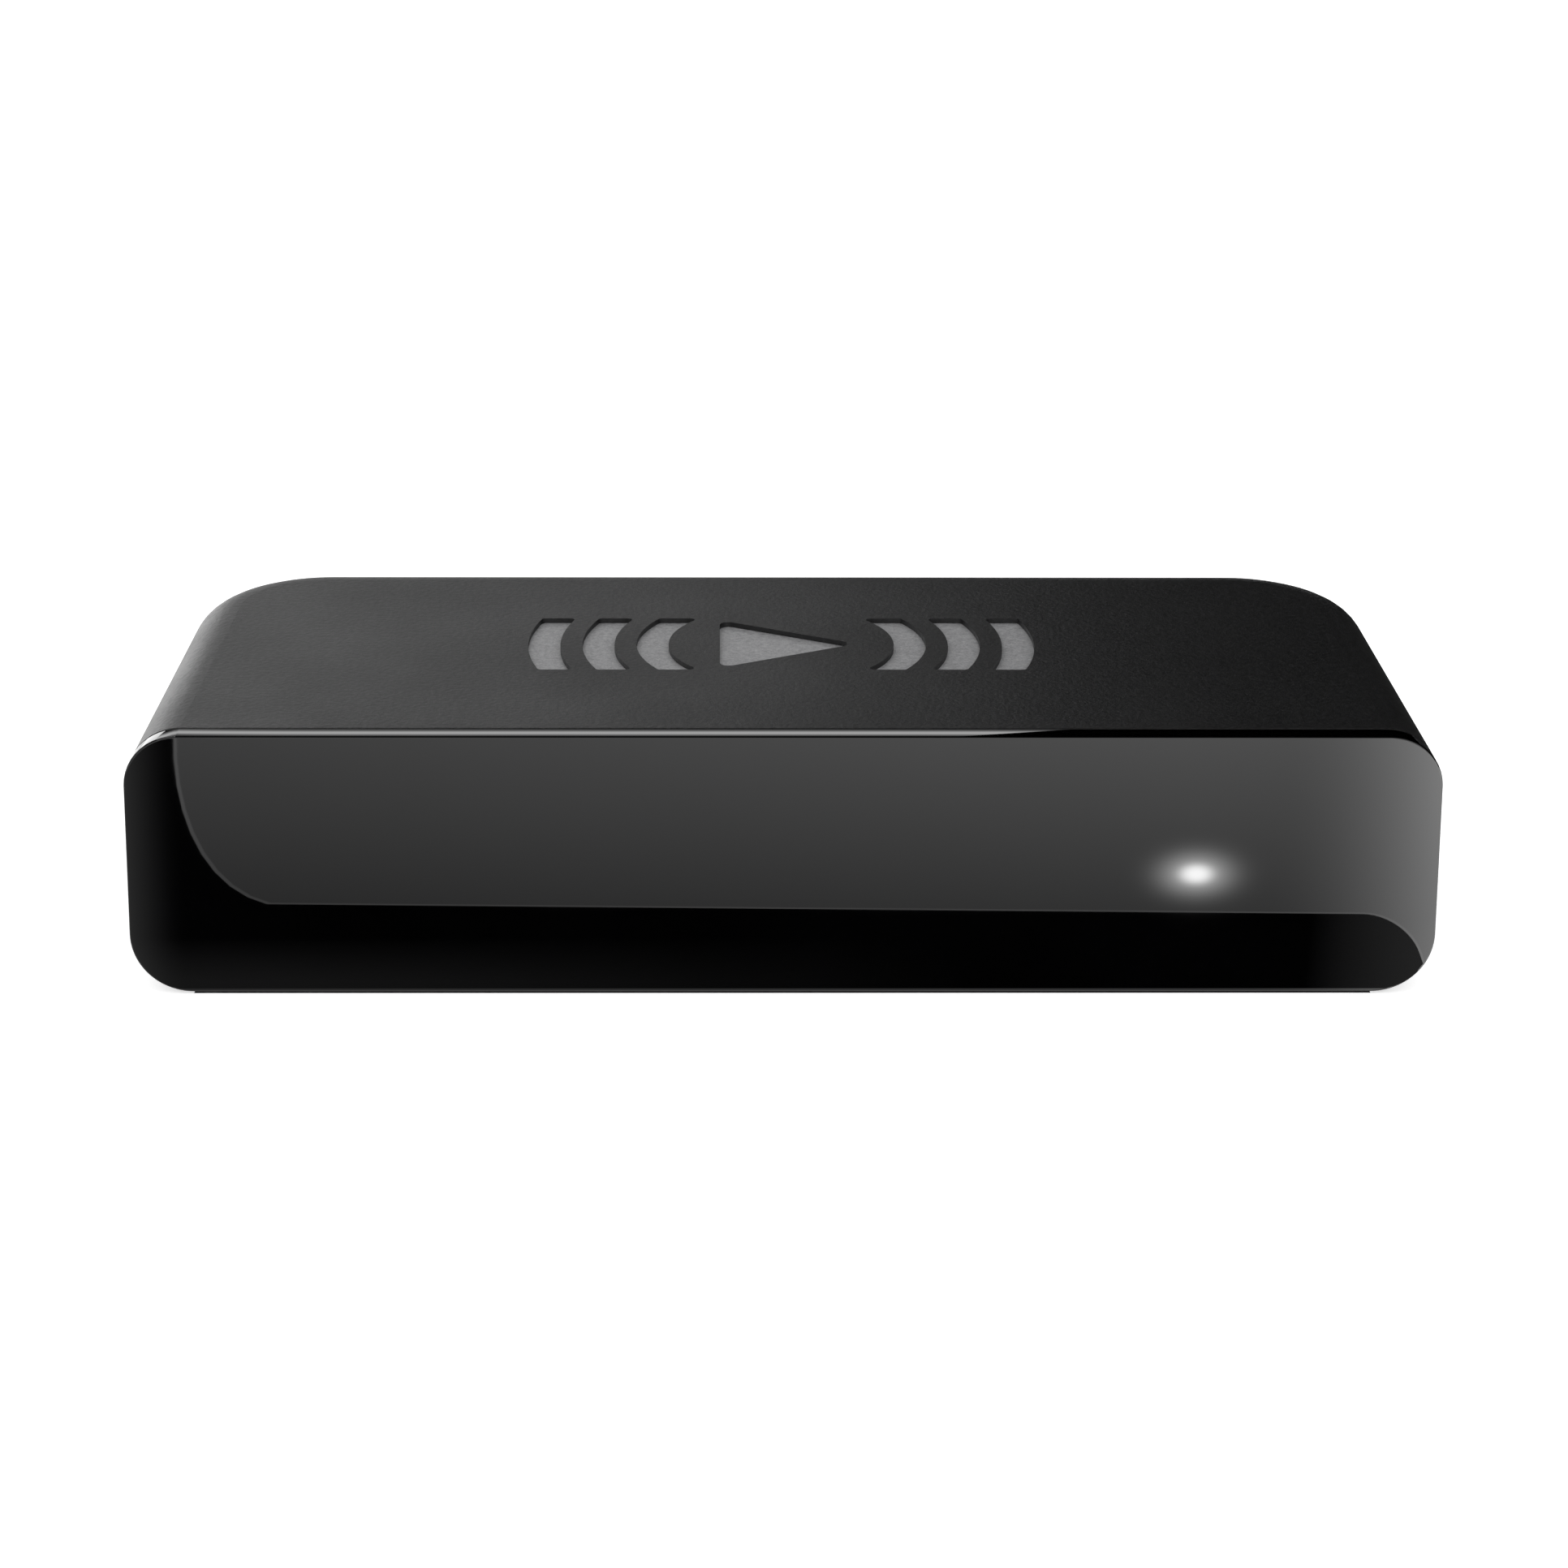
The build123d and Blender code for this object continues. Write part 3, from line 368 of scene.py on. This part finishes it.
def sheet(name, points, finish, height=0.0):
    """A flat sheet at one height, with the given outline and finish."""
    mesh = bpy.data.meshes.new(name)
    build = bmesh.new()
    build.faces.new([build.verts.new((x, y, height)) for x, y in points])
    build.to_mesh(mesh)
    build.free()
    mesh.materials.append(finish.material)
    return link(bpy.data.objects.new(name, mesh))


# ---------------------------------------------------------------- studio cards
class Glow(Finish):
    """An emission material for cards. Its strength is one value, or a graph feeds it."""

    def __init__(self, name, strength=1.0):
        super().__init__(name, (0.0, 0.0, 0.0), 1.0)
        self.nodes.remove(self.shader)
        self.shader = self.node("Emission", {"Strength": strength})
        output = self.nodes["Material Output"].inputs["Surface"]
        self.links.new(self.shader.outputs[0], output)

    def slant(self, lean):
        """Distance along X that leans with Y, for bands that fan out from the player."""
        return self.plus(self.along("X"), self.times(self.along("Y"), lean))


def only_in_reflections(card):
    """Gloss shows the card, and the camera, shade and shadows do not."""
    card.visible_camera = False
    card.visible_diffuse = False
    card.visible_shadow = False
    card.visible_transmission = False
    card.visible_volume_scatter = False


def lying(name, points, glow, height):
    """A card that lies just above the floor, outlined in X and Y."""
    only_in_reflections(sheet(name, points, glow, height))


def upright(name, points, glow, y):
    """A card that stands across the view at one y, outlined in X and Z."""
    card = sheet(name, points, glow)
    card.rotation_euler.x = math.radians(90)
    card.location.y = y
    only_in_reflections(card)


def facing(name, centre, size, glow):
    """A card that hangs at its centre and faces the player."""
    width, height = size
    card = sheet(name, box_outline(-width / 2, width / 2, -height / 2, height / 2), glow)
    card.location = centre
    card.rotation_mode = "QUATERNION"
    card.rotation_quaternion = (OBJECT_CENTRE - Vector(centre)).to_track_quat("Z", "Y")
    only_in_reflections(card)


def sweep_glow(name, gain=1.0):
    """Grey sweep that the panel mirrors: brighter further out and towards the right."""
    glow = Glow(name)
    out = glow.minus(FACE_Y, glow.along("Y"))
    rise = glow.remap(out, 0.5 * gain, 1.42 * gain, 13 * MM, 60 * MM)
    lift = glow.remap(glow.along("X"), 0.92, 1.5, -45 * MM, 31 * MM)
    ramp = glow.remap(glow.slant(LEAN_RIGHT), 0.0, 1.0, 28 * MM, 40.3 * MM)
    side = glow.times(glow.math("POWER", ramp, 2.2), 3.1)
    glow.feed("Strength", glow.plus(glow.times(rise, lift), side))
    return glow


def flag_glow():
    """Black flag in front of the player, a little lighter at both ends and at the near left."""
    glow = Glow("reflection_flag")
    out = glow.minus(FACE_Y, glow.along("Y"))
    near = glow.remap(out, 0.17, 0.0, 1.5 * MM, 9 * MM)
    leftward = glow.remap(glow.along("X"), 1.0, 0.0, -40 * MM, 12 * MM)
    leftmost = glow.remap(glow.slant(LEAN_LEFT), 1.0, 0.0, -41.4 * MM, -37.2 * MM)
    left = glow.times(glow.math("POWER", leftmost, 2.0), 0.56)
    right = glow.remap(glow.slant(LEAN_RIGHT), 0.0, 0.38, 32 * MM, 39.4 * MM)
    glow.feed("Strength", glow.plus(glow.plus(left, right), glow.times(near, leftward)))
    return glow


def add_reflection_floor():
    """What the front panel mirrors: a grey sweep on the floor, and a black flag nearest the player.

    The flag is a band along the player's front, with a leg that runs out at the left. An arc joins
    the leg to the band, and another rounds the band's right end. A brighter copy, shifted a little,
    shows past the flag as a thin light line.
    """
    near = FACE_Y - 0.2 * MM
    sweep = box_outline(-260 * MM, 260 * MM, -420 * MM, near)
    lying("sweep_card", sweep, sweep_glow("reflection_sweep"), 0.1 * MM)

    left, far, side = -120 * MM, -110 * MM, -46.4 * MM
    flag = [(left, near), (left, far), (side, far)]
    flag += arc((-33.75 * MM, FACE_Y - 68.6 * MM), (12.2 * MM, 54.0 * MM), 180, 98)
    flag += arc((40.0 * MM, FACE_Y - 6.2 * MM), (3.1 * MM, 7.1 * MM), 270, 360)
    flag.append((43.15 * MM, near))
    lying("flag_card", flag, flag_glow(), 0.3 * MM)
    shifted = [(x + 0.2 * MM, y - 0.5 * MM) for x, y in flag]
    lying("flag_edge_card", shifted, sweep_glow("reflection_edge", 1.7), 0.2 * MM)


def rear_wall_glow():
    """Light wall behind the player, full at the left and gone past the middle."""
    glow = Glow("rear_wall")
    glow.feed("Strength", glow.remap(glow.along("X"), 0.93, 0.0, -56 * MM, 18 * MM))
    return glow


def bar_glow():
    """Soft-edged bar of light that runs level and then bends down round the left end."""
    glow = Glow("bar")
    beside = glow.math("MINIMUM", glow.minus(glow.along("X"), BAR_BEND[0]), 0.0)
    above = glow.minus(glow.along("Y"), BAR_BEND[1])
    spot = glow.node("CombineXYZ", {0: beside, 1: above}).outputs[0]
    radius = glow.vector("LENGTH", spot, output="Value")
    off = glow.math("DIVIDE", glow.minus(radius, BAR_RADIUS), BAR_SPREAD)
    glow.feed("Strength", glow.times(glow.falling(glow.times(off, off)), 2.15))
    return glow


def add_rear_cards():
    """Behind the player: the wall, the bar that lights the panel's top edge, and a card at the left."""
    wall = box_outline(-260 * MM, 19 * MM, 5 * MM, 150 * MM)
    upright("rear_card", wall, rear_wall_glow(), REAR_WALL_Y)

    half = 14 * MM
    inner, outer = BAR_RADIUS - half, BAR_RADIUS + half
    low_end, high_end = 32.7 * MM, 16.7 * MM
    bar = [(low_end, BAR_BEND[1] + inner), (high_end, BAR_BEND[1] + outer)]
    bar += arc(BAR_BEND, (outer, outer), 90, 155)
    bar += arc(BAR_BEND, (inner, inner), 155, 90)
    upright("bar_card", bar, bar_glow(), REAR_WALL_Y - 1 * MM)

    edge = box_outline(-175 * MM, -72 * MM, 0.0, 48 * MM)
    upright("left_edge_card", edge, Glow("left_edge_glow", 2.7), REAR_WALL_Y - 2 * MM)


def add_room_cards():
    """Round the player: large cards in front, at the left and above, and shade at the right."""
    front = box_outline(-400 * MM, 400 * MM, 0.0, 260 * MM)
    upright("front_card", front, Glow("front_glow", 1.3), -430 * MM)
    left, top = (-320 * MM, 20 * MM, 110 * MM), (-160 * MM, 0.0, 340 * MM)
    facing("left_card", left, (300 * MM, 200 * MM), Glow("left_card_glow", 0.8))
    facing("top_card", top, (320 * MM, 160 * MM), Glow("top_card_glow", 2.4))

    front_y, far_y = -12 * MM, 2500 * MM
    fan = [(47 * MM, front_y), (170 * MM, front_y), (1500 * MM, far_y), (600 * MM, far_y)]
    fan.append((50 * MM, REAR_WALL_Y))
    lying("right_shade_card", fan, Glow("right_shade", 0.03), 0.4 * MM)


# ---------------------------------------------------------------- floor, world and camera
def standing_outline():
    """Plan of the part of the underside that stands just clear of the floor."""
    low, high = cad_box
    inset, taper, corner = 4.1 * MM, 2.6 * MM, 7.0 * MM
    front_half = high.x - inset
    rear_half = front_half - taper
    front, rear = low.y + 0.15 * MM, high.y - inset
    points = [(-front_half, front), (front_half, front)]
    points += arc((rear_half - corner, rear - corner), (corner, corner), 0, 90)
    points += arc((corner - rear_half, rear - corner), (corner, corner), 90, 180)
    return points


def add_floor():
    """Pale floor, with a painted shadow: a dark sheet where the player keeps the light off it."""
    half = 3.0
    pale = Finish("floor_pale", (0.82, 0.82, 0.82), 0.9, Specular_IOR_Level=0.0)
    pale.set("Emission Color", WHITE)
    pale.set("Emission Strength", 0.6)
    # painted shadow: a near-black sheet under the player stands in for its contact shadow on the floor
    dark = Finish("painted_contact_shadow", (0.01, 0.01, 0.01), 1.0, Specular_IOR_Level=0.0)
    sheet("floor", box_outline(-half, half, -half, half), pale)
    sheet("contact_shade", standing_outline(), dark, 0.01 * MM)


def add_world():
    """Even white surroundings, which gloss does not show."""
    world = bpy.data.worlds.new("studio")
    bpy.context.scene.world = world
    world.use_nodes = True
    background = world.node_tree.nodes["Background"]
    background.inputs["Color"].default_value = WHITE
    background.inputs["Strength"].default_value = 1.0
    world.cycles_visibility.glossy = False


def add_camera():
    """The photograph's view: almost square to the front, 20.7 degrees up, with a long lens."""
    distance, elevation, turn = 367.6 * MM, math.radians(20.66), math.radians(-0.733)
    roll = Quaternion((0, 0, 1), math.radians(0.284))
    centre = Vector((0.0, 0.0, 8.9 * MM))
    aim = Vector((0.23 * MM, 0.0, 8.155 * MM))
    camera = link(bpy.data.objects.new("camera", bpy.data.cameras.new("camera")))
    camera.data.lens = 122.4
    camera.data.sensor_width = 36.0
    camera.data.clip_start = 0.01
    level = Vector((math.sin(turn), -math.cos(turn), 0)) * math.cos(elevation)
    camera.location = centre + distance * (level + Vector((0, 0, math.sin(elevation))))
    camera.rotation_mode = "QUATERNION"
    camera.rotation_quaternion = (aim - camera.location).to_track_quat("-Z", "Y") @ roll
    bpy.context.scene.camera = camera


add_camera()
add_world()
add_floor()
add_reflection_floor()
add_rear_cards()
add_room_cards()
paint_nodes()
bpy.context.scene.view_settings.view_transform = "Standard"
